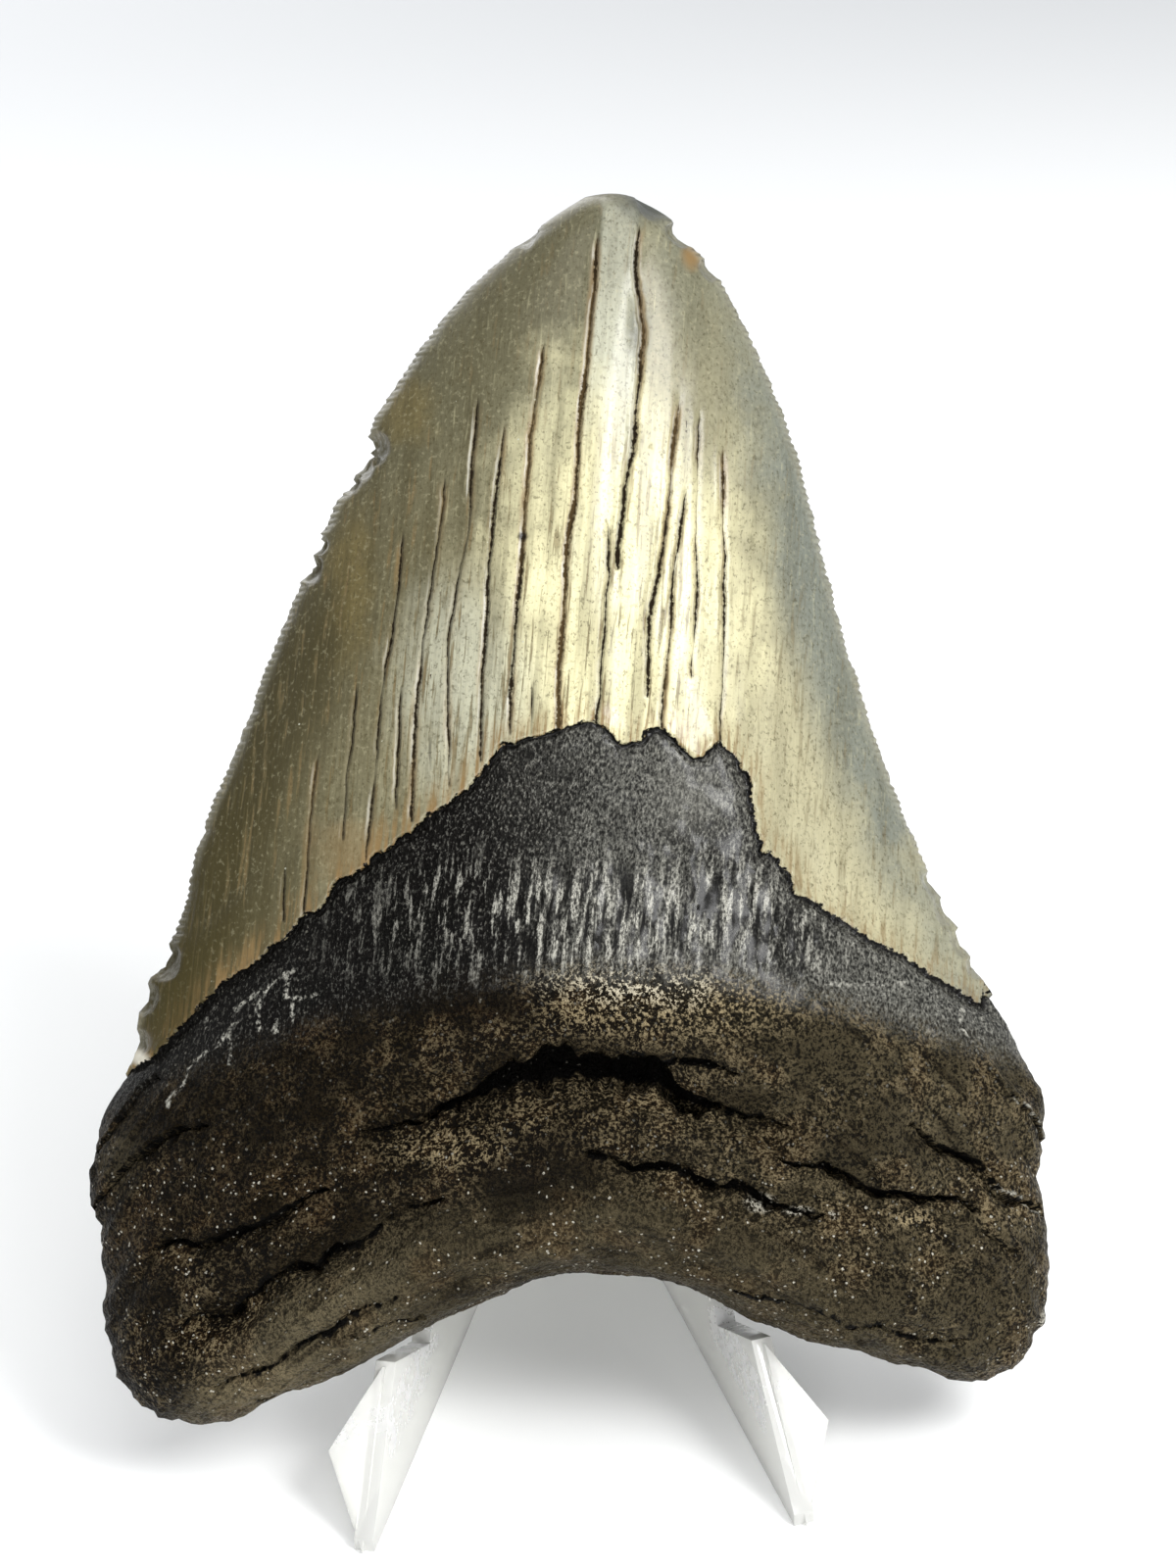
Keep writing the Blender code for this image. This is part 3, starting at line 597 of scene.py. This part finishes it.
blade = tint(tree, rise(tree, clouds, 0.36, 0.66, 0.0, 0.5), OLIVE, KHAKI)
to_the_right = times(tree, on_right, rise(tree, axis[2], 58.0, 98.0, 0.62, 0.05))
smoky = times(tree, on_left, rise(tree, axis[2], 84.0, 100.0, 0.0, 0.85))
bronzed = times(tree, on_left, rise(tree, margin, 20.0, 9.0, 0.1, 0.6))
dark_side = times(tree, rise(tree, margin, 15.0, 4.0), rise(tree, axis[2], 98.0, 76.0, 0.2, 0.95), on_left)
blue_side = times(tree, rise(tree, margin, 8.5, 3.0), rise(tree, clouds, 0.30, 0.55, 0.25, 0.95), on_right)
blade = layered(tree, blade, ((to_the_right, KHAKI), (smoky, SMOKE), (bronzed, BRONZE),
                              (dark_side, DARK_OLIVE), (blue_side, SLATE)))
blade = stained(tree, blade, (
    (SLATE, (23, 89), (5, 15), 1.0, 1.2),
    (KHAKI, (35, 47), (7, 8), 0.3, 1.2),
    (OCHRE, (-22, 83), (2.8, 9), 0.65, 1.6),
    (OCHRE, (-17, 99), (4, 4), 0.6, 1.6),
    # In the middle of the blade the enamel's own cream, brightened further as a painted highlight.
    (CREAM, (4, 80), (15, 27), 1.0, 0.8),
    (SILVER, (-11, 72), (8, 13), 0.7, 0.8),
))
# The raised strip: silver and cream, partly its own colour and partly a painted reflection.
blade = tint(tree, times(tree, mark(tree, "strip"), 0.9), blade, SILVER)
blade = stained(tree, blade, (
    (CREAM, (2, 90), (3.5, 14), 1.0, 0.5),
    (SMOKE, (5.9, 107), (1.6, 4.5), 1.0, 1.2),
    (OLIVE, (12, 104), (5, 15), 0.85, 0.8),
    (SMOKE, (4, 116), (3, 9), 0.35, 0.8),
    (SMOKE, (10, 110), (3.5, 7), 0.4, 1.2),
))

# The fibres of the enamel, calmer to the right and at the tip, then its dapples, pores and nicks.
calm = times(tree, rise(tree, axis[0], 8.0, 15.0, 1.0, 0.45), rise(tree, axis[2], 92.0, 106.0, 1.0, 0.5))
grained = times(tree, rise(tree, axis[2], 100.0, 72.0, 0.25, 0.75), calm)
pale = times(tree, rise(tree, fine_streaks, 0.58, 0.76), rise(tree, axis[0], -26.0, 4.0, 0.05, 0.4), calm)
nicks = add_node(tree, "TexVoronoi", {"Vector": where, "Scale": 1 / NICK_SPACING}).outputs["Distance"]
nicks = work(tree, "MULTIPLY_ADD", dapple, 0.12, nicks)
blade = layered(tree, blade, (
    (times(tree, rise(tree, streaks, 0.56, 0.36, 0.0, 0.42), calm), DARK_OLIVE),
    (times(tree, rise(tree, fine_streaks, 0.46, 0.36), grained), BRONZE),
    (times(tree, rise(tree, fine_streaks, 0.42, 0.30, 0.0, 0.35), calm), AMBER),
    (pale, CREAM),
    (rise(tree, dapple, 0.48, 0.32, 0.0, 0.30), DARK_OLIVE),
    (rise(tree, dapple, 0.55, 0.70, 0.0, 0.22), KHAKI),
    (rise(tree, pores, 0.41, 0.33, 0.0, 0.5), DARK_OLIVE),
    (times(tree, rise(tree, nicks, 0.095, 0.072), on_left), SILVER),
))

# The lower edge of the enamel, stained amber, then the cutting edges with their saw teeth and chips.
ragged = work(tree, "MULTIPLY_ADD", work(tree, "SUBTRACT", dapple, 0.5), 0.9, mark(tree, "enamel"))
amber_edge = times(tree, rise(tree, ragged, 3.2, 0.1), rise(tree, fine_streaks, 0.56, 0.40, 0.10, 0.85),
                   rise(tree, axis[0], 10.0, 20.0, 1.0, 0.55))
blade = tint(tree, amber_edge, blade, AMBER)
blade = stained(tree, blade, (
    (AMBER, (-21, 56), (5, 4), 0.35, 1.8),
    (AMBER, (11.2, 114.6), (1.3, 1.8), 1.0, 1.2),
))
along = work(tree, "MULTIPLY_ADD", clouds, 3.0, mark(tree, "along"))
beads = work(tree, "SINE", work(tree, "MULTIPLY", along, 2 * math.pi / SERRATION))
chalky = times(tree, rise(tree, mark(tree, "chip"), 0.05, 0.3), rise(tree, dapple, 0.42, 0.58, 0.15, 0.65))
blade = layered(tree, blade, (
    (rise(tree, margin, 1.4, 0.2, 0.0, 0.45), PALE_EDGE),
    (times(tree, rise(tree, margin, 1.0, 0.3), rise(tree, beads, 0.1, -0.9, 0.0, 0.4)), DARK_OLIVE),
    (chalky, FRESH_CHIP),
))
blade = stained(tree, blade, (
    (DARK_OLIVE, (-39, 47), (5, 14), 0.6, 1.2),
    (SOOT, (7.8, 120), (4.2, 3.2), 1.0, 1.4),
    (SPECK, (-43.0, 36.0), (1.2, 1.0), 1.0, 1.4),
))

# The cracks: an amber halo, a painted highlight on the lip to the left, and a dirty core that widens and
# narrows.
dents = 0.0
cores = 0.0
for field in (0, 1):
    beside = mark(tree, "beside_%d" % field)
    gape = mark(tree, "gape_%d" % field)
    torn = times(tree, gape, rise(tree, dapple, 0.30, 0.66, 0.25, 1.75))
    off = work(tree, "ABSOLUTE", beside)
    halo = times(tree, rise(tree, gape, 0.02, 0.08), rise(tree, off, 0.75, 0.12),
                 rise(tree, streaks, 0.40, 0.60, 0.1, 0.75))
    # A painted highlight along the lip on the left of each crack.
    lip = times(tree, rise(tree, beside, -0.48, -0.28), rise(tree, beside, -0.08, -0.20),
                rise(tree, gape, 0.03, 0.09, 0.0, 0.5), rise(tree, fine_streaks, 0.44, 0.58))
    inside = work(tree, "SUBTRACT", torn, off)
    core = times(tree, rise(tree, inside, -0.05, 0.03), rise(tree, gape, 0.015, 0.045))
    dirt = tint(tree, rise(tree, streaks, 0.50, 0.62, 0.0, 0.8), CRACK_BLACK, CRACK_BROWN)
    blade = layered(tree, blade, ((halo, AMBER), (lip, PALE_STREAK_AND_GLINT), (core, dirt)))
    cores = work(tree, "MAXIMUM", cores, core)
    dent = times(tree, rise(tree, inside, -0.22, 0.08), rise(tree, gape, 0.015, 0.05))
    dents = work(tree, "SUBTRACT", dents, dent)
blade = stained(tree, blade, ((CRACK_BLACK, (-5.3, 86.5), (0.6, 0.6), 1.0, 0.3),))

# The root, dark brown on the left and paler below and to the right, with layers that bow over the arch.
speckle = grains(tree, where, 0.34, detail=2.0, roughness=0.7)
crackle = grains(tree, fibre, 0.24, detail=2.0, roughness=0.6, stretch=(1, 0.6, 0.60))
furrows = grains(tree, fibre, 0.55, detail=3.0, roughness=0.55, stretch=(1, 0.3, 0.13))
coarse = grains(tree, where, 1.2, detail=3.0)
blotch = grains(tree, where, 5.0, detail=5.0)
bedding = work(tree, "MULTIPLY_ADD", work(tree, "MULTIPLY", axis[0], axis[0]), LAYER_BOW, axis[2])
beds = add_node(tree, "CombineXYZ", {0: axis[0], 1: axis[1], 2: bedding}).outputs[0]
layers = grains(tree, beds, 1.5, detail=4.0, stretch=(0.16, 0.5, 1))
lumps = work(tree, "MULTIPLY_ADD", work(tree, "SUBTRACT", coarse, 0.5), 0.4, speckle)
umber = times(tree, rise(tree, axis[0], -6.0, -26.0), rise(tree, axis[2], 8.0, 20.0, 0.0, 0.9))
left_lobe = times(tree, rise(tree, axis[0], -8.0, -26.0), rise(tree, bedding, 29.0, 22.0, 0.0, 0.8))
root = layered(tree, ROOT_BROWN, (
    (rise(tree, bedding, 28.0, 20.0, 0.0, 0.90), ROOT_OLIVE),
    (rise(tree, axis[0], -8.0, 34.0, 0.0, 0.85), ROOT_OLIVE),
    (umber, ROOT_BROWN),
    (left_lobe, LOBE_OLIVE),
    (rise(tree, blotch, 0.48, 0.66, 0.0, 0.5), ROOT_RUST),
))
root = stained(tree, root, (
    (LOBE_OLIVE, (36, 31), (7, 4.5), 0.45, 1.2),
    (LOBE_OLIVE, (-44.5, 26), (3, 4), 0.3, 1.2),
    (ROOT_TAN, (-31, 5), (8, 4), 0.2, 1.2),
))
root = tint(tree, rise(tree, layers, 0.47, 0.36, 0.0, 0.7), root, ROOT_BROWN)

# Its tan grains, with painted light on the crest and on the ledges under the splits, and its pits.
crest = times(tree, patch(tree, where, (9, 42.5), (17, 4.5), 1.0), 0.8)
shelf = times(tree, patch(tree, where, (-13, 28.3), (8, 2.4)), 0.8)
lit = work(tree, "MAXIMUM", times(tree, mark(tree, "ledge"), 0.7), crest)
lit = work(tree, "MAXIMUM", lit, shelf)
# Painted shade in two hollows of the root: darker there, and with fewer tan grains.
painted_hollow_shade = work(tree, "MAXIMUM", patch(tree, where, (-4, 24.5), (6, 4.6)),
              patch(tree, where, (-10, 42.5), (9, 3.5)))
tan = times(tree, work(tree, "ADD", lit, rise(tree, blotch, 0.40, 0.62, 0.06, 0.48)),
            rise(tree, bedding, 22.0, 30.0, 0.50, 1.0), all_but(tree, umber, 0.7),
            all_but(tree, painted_hollow_shade, 0.75), rise(tree, lumps, 0.50, 0.62))
pitting = times(tree, rise(tree, lumps, 0.50, 0.40), rise(tree, bedding, 20.0, 30.0, 0.50, 0.85))
# Painted highlights on the crest, laid on as pale specks.
painted_crest_glints = times(tree, patch(tree, where, (5.5, 44.3), (11, 3.2), 0.8), rise(tree, lumps, 0.52, 0.60))
root = layered(tree, root, (
    (tan, ROOT_TAN),
    (times(tree, painted_hollow_shade, 0.5), SPLIT_AND_SHADE_BLACK),
    (rise(tree, clouds, 0.52, 0.38, 0.0, 0.25), ROOT_BROWN),
    (pitting, SPLIT_AND_SHADE_BLACK),
    (painted_crest_glints, ROOT_GLINT),
))

# The band between enamel and root, blue-black on the left, grey on the right, pale ribs, furrows, painted
# highlights.
grey_side = times(tree, rise(tree, axis[0], -11.0, 5.0), rise(tree, clouds, 0.34, 0.58, 0.35, 1.0))
painted_band_glints = times(tree, rise(tree, crackle, 0.54, 0.66), rise(tree, axis[0], -24.0, 10.0, 0.10, 0.34))
pitted = patch(tree, where, (3, 50), (31, 7.5), 1.0)
flanks = times(tree, rise(tree, furrows, 0.53, 0.60), rise(tree, crackle, 0.40, 0.54, 0.25, 1.0), pitted,
               rise(tree, axis[0], -34.0, 2.0, 0.30, 0.85))
band = layered(tree, BAND_BLUE, (
    (grey_side, BAND_GREY),
    (rise(tree, crackle, 0.50, 0.40, 0.0, 0.85), SPLIT_AND_SHADE_BLACK),
    (painted_band_glints, PALE_STREAK_AND_GLINT),
    (times(tree, pitted, rise(tree, furrows, 0.48, 0.41, 0.0, 0.95)), SPLIT_AND_SHADE_BLACK),
    (flanks, PALE_STREAK_AND_GLINT),
))
# A painted sheen on the right middle of the band, then a darker patch left of it.
band = stained(tree, band, (
    (PALE_STREAK_AND_GLINT, (10.5, 61.5), (4, 5), 0.10, 0.8),
    (SPLIT_AND_SHADE_BLACK, (4, 58.5), (3.5, 4), 0.30, 0.8),
))

# Veins, chalky spots, splits and pale flecks.
veined = times(tree, rise(tree, mark(tree, "vein"), 0.30, 0.08), rise(tree, dapple, 0.40, 0.58, 0.0, 0.75))
sandy = times(tree, patch(tree, where, (31.9, 21.3), (2.2, 1.0)), rise(tree, lumps, 0.46, 0.56))
root = layered(tree, root, ((mark(tree, "band"), band), (veined, PALE_STREAK_AND_GLINT), (sandy, ROOT_TAN)))
for spot, reach in (((17.4, 22.9), (1.5, 1.1)), ((21.0, 22.1), (1.6, 0.5)), ((45.6, 9.9), (0.8, 2.0)),
                    ((24.4, 21.7), (0.7, 0.6))):
    chalk = times(tree, patch(tree, where, spot, reach, 1.2), rise(tree, lumps, 0.47, 0.56))
    root = tint(tree, chalk, root, SPECK)
root = tint(tree, rise(tree, mark(tree, "split"), 0.12, 0.50), root, SPLIT_AND_SHADE_BLACK)
fleck = add_node(tree, "TexVoronoi", {"Vector": where, "Scale": 1 / FLECK_SPACING}).outputs["Distance"]
fleck = work(tree, "MULTIPLY_ADD", work(tree, "SUBTRACT", speckle, 0.5), 0.5, fleck)
flecked = times(tree, rise(tree, fleck, 0.18, 0.10), rise(tree, blotch, 0.42, 0.56),
                rise(tree, axis[2], 32.0, 22.0, 0.2, 1.0))
root = tint(tree, flecked, root, SPECK)

# Enamel over root, with a painted shadow line under the enamel's edge, and how much each of them shines.
on_blade = rise(tree, ragged, -0.05, 0.05)
painted_edge_shadow = times(tree, rise(tree, ragged, -0.8, -0.2), rise(tree, ragged, 0.08, -0.08))
shade = layered(tree, root, ((on_blade, blade), (painted_edge_shadow, SPLIT_AND_SHADE_BLACK)))
blade_rough = rise(tree, dapple, 0.3, 0.7, 0.40, 0.27)
root_rough = rise(tree, speckle, 0.35, 0.65, 0.62, 0.34)
rough = add_node(tree, "Mix", {0: on_blade, 2: root_rough, 3: blade_rough}).outputs[0]
rough = work(tree, "MAXIMUM", rough, times(tree, cores, 0.9))
band_wax = times(tree, mark(tree, "band"), rise(tree, axis[0], -18.0, 6.0, 0.04, 0.26))
blade_wax = rise(tree, axis[0], -40.0, -26.0, 0.10, 0.44)
waxed = add_node(tree, "Mix", {0: on_blade, 2: band_wax, 3: blade_wax}).outputs[0]
waxed = times(tree, waxed, all_but(tree, work(tree, "MAXIMUM", cores, mark(tree, "split"))))
tree.links.new(shade, shader.inputs["Base Color"])
tree.links.new(rough, shader.inputs["Roughness"])
tree.links.new(waxed, shader.inputs["Coat Weight"])

# The finest relief, too small for the mesh.
root_relief = work(tree, "ADD", times(tree, speckle, 3.2), times(tree, coarse, 3.6))
root_relief = work(tree, "ADD", root_relief, times(tree, layers, 2.4))
band_relief = work(tree, "ADD", times(tree, furrows, 3.0), times(tree, crackle, 2.8))
stone = add_node(tree, "Mix", {0: mark(tree, "band"), 2: root_relief, 3: band_relief}).outputs[0]
enamel_relief = work(tree, "MULTIPLY_ADD", fine_streaks, 0.30, times(tree, dapple, 0.12))
enamel_relief = work(tree, "MULTIPLY_ADD", dents, 0.5, enamel_relief)
relief = add_node(tree, "Mix", {0: on_blade, 2: stone, 3: enamel_relief}).outputs[0]
bump = add_node(tree, "Bump", {"Height": relief, "Strength": 1.0, "Distance": FINE_RELIEF})
tree.links.new(bump.outputs[0], shader.inputs["Normal"])
tooth.data.materials.clear()
tooth.data.materials.append(fossil)
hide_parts("megalodon_tooth")
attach(tooth, "root")


# The display stand. One clear plastic moulding: two walls in a V, joined in a spine behind the tooth, with
# softly rounded edges. It stands loose on the walls' lower edges, and its ledges are scuffed by the stone,
# with painted white highlights.
EDGE_ROUND = 0.00025
PLASTIC_TINT = (0.985, 0.985, 0.945, 1)
SCUFF_AND_GLINT_WHITE = (1.0, 1.0, 1.0, 1)
stand = bpy.data.objects.new("clear_stand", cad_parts["display_stand"].data.copy())
bpy.context.collection.objects.link(stand)
bpy.ops.object.select_all(action="DESELECT")
stand.select_set(True)
bpy.context.view_layer.objects.active = stand
bpy.ops.object.mode_set(mode="EDIT")
bpy.ops.mesh.select_all(action="SELECT")
bpy.ops.mesh.remove_doubles(threshold=0.00001)
bpy.ops.mesh.dissolve_limited(angle_limit=math.radians(1))
bpy.ops.object.mode_set(mode="OBJECT")
edges = stand.modifiers.new("edges", "BEVEL")
edges.width = EDGE_ROUND
edges.segments = 2
edges.limit_method = "ANGLE"
edges.angle_limit = math.radians(35)
edges.use_clamp_overlap = True
bpy.ops.object.modifier_apply(modifier=edges.name)
bpy.ops.object.shade_smooth_by_angle(angle=math.radians(30))

plastic = bpy.data.materials.new("clear_plastic")
plastic.use_nodes = True
tree = plastic.node_tree
shader = tree.nodes["Principled BSDF"]
shader.inputs["Transmission Weight"].default_value = 0.52
shader.inputs["IOR"].default_value = 1.49
world = add_node(tree, "TexCoord").outputs["Object"]
where = add_node(tree, "Mapping", {"Vector": world, "Scale": (1000, 1000, 1000)}).outputs[0]
axis = add_node(tree, "SeparateXYZ", {0: where}).outputs
scuffs = grains(tree, where, 2.5, detail=6.0, roughness=0.7)
# Rougher and whiter where the stone sits: the roughness is scuffing, the white partly scuffing and partly
# painted highlights.
scuff_and_glint = times(tree, rise(tree, axis[2], 4.0, 6.5), rise(tree, axis[1], -12.0, -19.0),
             rise(tree, axis[2], 13.0, 9.0), rise(tree, axis[1], -35.0, -32.0),
             rise(tree, scuffs, 0.45, 0.55))
hazy = work(tree, "MAXIMUM", rise(tree, scuffs, 0.45, 0.70, 0.05, 0.22), times(tree, scuff_and_glint, 0.7))
tree.links.new(hazy, shader.inputs["Roughness"])
tree.links.new(tint(tree, scuff_and_glint, PLASTIC_TINT, SCUFF_AND_GLINT_WHITE), shader.inputs["Base Color"])
stand.data.materials.clear()
stand.data.materials.append(plastic)
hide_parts("display_stand")
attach(stand, "root")


# The studio. A plain pale floor of matt paper, painted greyer with distance as painted shade, a key light
# from the upper right, a broad one from above, a weaker one from behind and a low one from the front, under
# an even pale sky.
NEAR_PAPER = (0.93, 0.935, 0.93, 1)
FAR_PAPER_SHADE = (0.56, 0.57, 0.58, 1)
bpy.ops.mesh.primitive_plane_add(size=3.0, location=(0, 0, 0))
floor = bpy.context.active_object
floor.name = "pale_floor"
paper = bpy.data.materials.new("pale_paper")
paper.use_nodes = True
tree = paper.node_tree
shader = tree.nodes["Principled BSDF"]
shader.inputs["Roughness"].default_value = 0.8
axis = add_node(tree, "SeparateXYZ", {0: add_node(tree, "TexCoord").outputs["Object"]}).outputs
# The far floor is painted greyer: painted shade that grows with distance.
painted_far_shade = tint(tree, rise(tree, axis[1], 0.14, 0.44), NEAR_PAPER, FAR_PAPER_SHADE)
tree.links.new(painted_far_shade, shader.inputs["Base Color"])
floor.data.materials.append(paper)


def soft_light(name, place, aim, size, power):
    """A square soft box at a place, turned to what it lights."""
    lamp = bpy.data.lights.new(name, "AREA")
    lamp.shape = "SQUARE"
    lamp.size = size
    lamp.energy = power
    box = bpy.data.objects.new(name, lamp)
    box.location = place
    box.rotation_euler = (Vector(place) - Vector(aim)).to_track_quat("Z", "Y").to_euler()
    bpy.context.collection.objects.link(box)


soft_light("key", (0.43, -0.38, 0.62), (0, 0, 0.05), 0.28, 4.9)
soft_light("top", (0.10, -0.10, 0.85), (0, 0, 0.05), 0.80, 3.0)
soft_light("back", (-0.25, 0.50, 0.25), (0, 0, 0.0), 0.50, 1.5)
soft_light("low", (0.05, -0.62, 0.20), (0, 0.02, 0.0), 0.35, 2.3)
sky = bpy.data.worlds.new("studio")
bpy.context.scene.world = sky
sky.use_nodes = True
sky.node_tree.nodes["Background"].inputs["Color"].default_value = (0.95, 0.97, 1.0, 1)
sky.node_tree.nodes["Background"].inputs["Strength"].default_value = 0.50


# The camera. It looks square at the tooth's shown face, upright along the blade, as the photograph does.
PHOTO_WIDTH = 1200
PIXELS_PER_MM = 10.4
PHOTO_MIDDLE = (0.00096, 0.0, 0.06279)
CAMERA_DISTANCE = 0.41
SENSOR = 36
eye = bpy.data.cameras.new("camera")
eye.sensor_fit = "HORIZONTAL"
eye.sensor_width = SENSOR
eye.lens = SENSOR * CAMERA_DISTANCE * 1000 / (PHOTO_WIDTH / PIXELS_PER_MM)
eye.clip_start = 0.01
camera = bpy.data.objects.new("camera", eye)
middle = turned @ Vector(PHOTO_MIDDLE) + Vector(seat)
back_off = turned @ Vector((0, -CAMERA_DISTANCE, 0))
facing = turned @ Matrix.Rotation(math.radians(90), 3, "X")
camera.matrix_world = Matrix.Translation(middle + back_off) @ facing.to_4x4()
bpy.context.collection.objects.link(camera)
bpy.context.scene.camera = camera
bpy.context.scene.view_settings.view_transform = "Standard"
